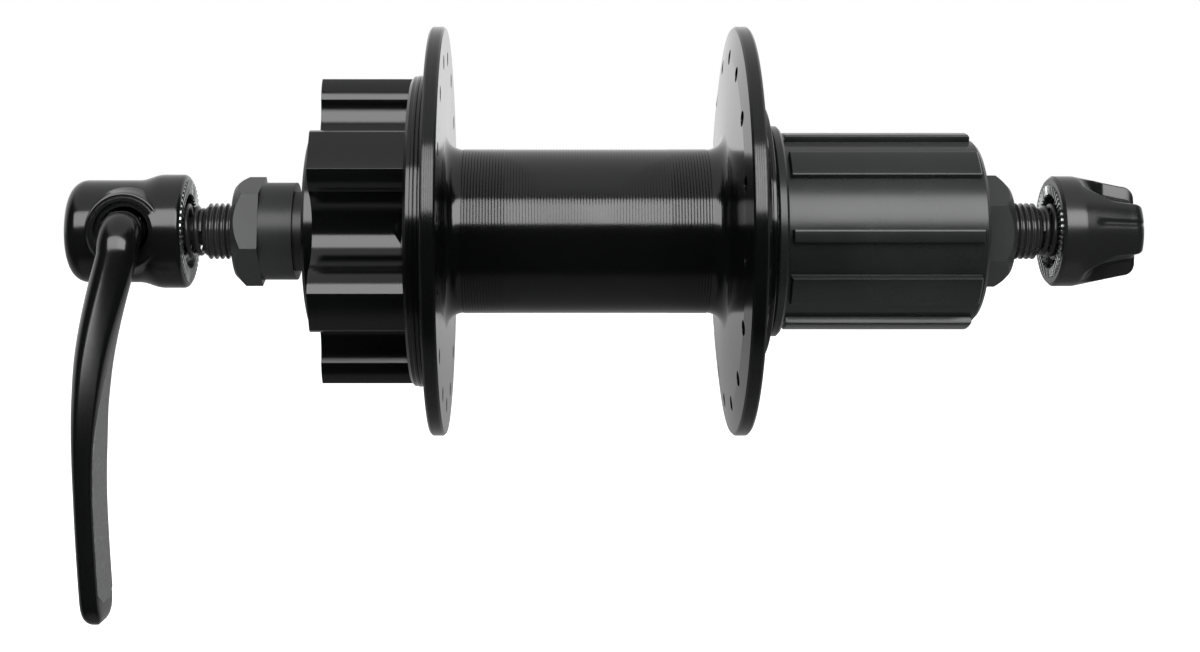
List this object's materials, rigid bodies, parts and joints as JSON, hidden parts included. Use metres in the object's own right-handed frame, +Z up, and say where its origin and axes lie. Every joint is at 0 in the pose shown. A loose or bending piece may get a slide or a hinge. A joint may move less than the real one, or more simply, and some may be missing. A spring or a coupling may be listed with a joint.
{
  "type": "bicycle rear hub assembly",
  "caption": "Rear bicycle hub for a bolted disc rotor, with spoke flanges, splined freehub body, hollow axle and a quick-release skewer with cam lever and adjusting nut.",
  "frame": {"origin": "on the axle's axis, midway between the two dropout faces of the locknuts", "axes": "+X along the axle to the drive side, where the freehub and the adjusting nut are; +Z up; the lever stands in front, at -Y, and points down at rest"},
  "size_m": [0.1871, 0.0714, 0.1012],
  "materials": {
    "black_anodised": "glossy black anodised, with fine turning lines",
    "freehub_black": "black-coated steel, satin",
    "blackened_steel": "oiled black steel",
    "locknut_black": "satin black steel",
    "bearing_steel": "ground hardened steel",
    "core_steel": "machined steel",
    "ball_steel": "polished balls",
    "spring_wire": "dark spring wire",
    "bright_teeth": "bright nickel plate",
    "zinc_steel": "dull zinc plate",
    "nylon": "natural nylon",
    "seal_rubber": "black rubber",
    "dust_cap_metal": "black pressed steel"
  },
  "bodies": {
    "axle_assembly": {"axle": "blackened_steel", "locknut_left": "locknut_black", "locknut_right": "locknut_black", "collar_left": "locknut_black", "washer_right": "locknut_black", "cone_left": "bearing_steel", "cone_right": "bearing_steel", "cone_seal_left": "seal_rubber", "cone_seal_right": "seal_rubber"},
    "shell": {"hub_shell": "black_anodised", "cup_left": "bearing_steel", "dust_cap_left": "dust_cap_metal", "dust_cap_right": "dust_cap_metal", "fixing_bolt": "bearing_steel", "freehub_core": "core_steel", "race_ring": "bearing_steel", "pawl_spring": "spring_wire"},
    "left_balls": {"balls_left": "ball_steel"},
    "right_balls": {"balls_right": "ball_steel"},
    "freehub": {"freehub_body": "freehub_black", "freehub_seal": "seal_rubber"},
    "freehub_balls": {"freehub_balls_inner": "ball_steel", "freehub_balls_outer": "ball_steel"},
    "pawl_a": {"pawl_a": "bearing_steel"},
    "pawl_b": {"pawl_b": "bearing_steel"},
    "left_spring": {"spring_left": "spring_wire"},
    "housing": {"qr_housing": "black_anodised", "housing_teeth": "bright_teeth"},
    "lever": {"lever": "black_anodised", "lever_cam": "bearing_steel", "cam_nut": "blackened_steel"},
    "rod": {"skewer_rod": "blackened_steel"},
    "right_spring": {"spring_right": "spring_wire"},
    "nut": {"nut_shell": "black_anodised", "nut_core": "zinc_steel", "nut_teeth": "bright_teeth", "nut_friction_ring": "nylon"}
  },
  "joints": [
    {"name": "hub_spin", "type": "hinge", "parent": "axle_assembly", "child": "shell", "pos_m": [0, 0, 0], "axis": [1, 0, 0], "continuous": true},
    {"name": "left_balls_roll", "type": "hinge", "parent": "axle_assembly", "child": "left_balls", "pos_m": [-0.049, 0, 0], "axis": [1, 0, 0], "continuous": true},
    {"name": "right_balls_roll", "type": "hinge", "parent": "axle_assembly", "child": "right_balls", "pos_m": [0.0553, 0, 0], "axis": [1, 0, 0], "continuous": true},
    {"name": "freehub_spin", "type": "hinge", "parent": "shell", "child": "freehub", "pos_m": [0.045, 0, 0], "axis": [1, 0, 0], "continuous": true},
    {"name": "freehub_balls_roll", "type": "hinge", "parent": "shell", "child": "freehub_balls", "pos_m": [0.04015, 0, 0], "axis": [1, 0, 0], "continuous": true},
    {"name": "pawl_a_rock", "type": "hinge", "parent": "shell", "child": "pawl_a", "pos_m": [0.0371, -0.0099, 0], "axis": [1, 0, 0], "range_deg": [0, 14]},
    {"name": "pawl_b_rock", "type": "hinge", "parent": "shell", "child": "pawl_b", "pos_m": [0.0371, 0.0099, 0], "axis": [1, 0, 0], "range_deg": [0, 14]},
    {"name": "skewer_turn", "type": "hinge", "parent": "axle_assembly", "child": "left_spring", "pos_m": [-0.076, 0, 0], "axis": [1, 0, 0], "continuous": true},
    {"name": "skewer_float", "type": "slide", "parent": "left_spring", "child": "housing", "axis": [1, 0, 0], "range_m": [-0.0015, 0.0015], "stiffness_N_per_m": 400, "deforming": ["spring_left", "spring_right"]},
    {"name": "lever_swing", "type": "hinge", "parent": "housing", "child": "lever", "pos_m": [-0.0856, 0, 0], "axis": [0, 1, 0], "range_deg": [0, 180]},
    {"name": "rod_draw", "type": "slide", "parent": "housing", "child": "rod", "axis": [1, 0, 0], "range_m": [0, 0.0018], "deforming": ["spring_right"]},
    {"name": "nut_travel", "type": "slide", "parent": "rod", "child": "right_spring", "axis": [1, 0, 0], "range_m": [0, 0.004], "deforming": ["spring_right"]},
    {"name": "nut_turn", "type": "hinge", "parent": "right_spring", "child": "nut", "pos_m": [0.0826, 0, 0], "axis": [1, 0, 0], "range_deg": [0, 1800]}
  ],
  "couplings": [
    {"joint": "left_balls_roll", "follows": "hub_spin", "ratio": 0.616},
    {"joint": "right_balls_roll", "follows": "hub_spin", "ratio": 0.616},
    {"joint": "freehub_balls_roll", "follows": "freehub_spin", "ratio": 0.54},
    {"joint": "rod_draw", "follows": "lever_swing", "m_per_rad": 0.00057296},
    {"joint": "nut_travel", "follows": "nut_turn", "m_per_rad": 0.00012732}
  ]
}
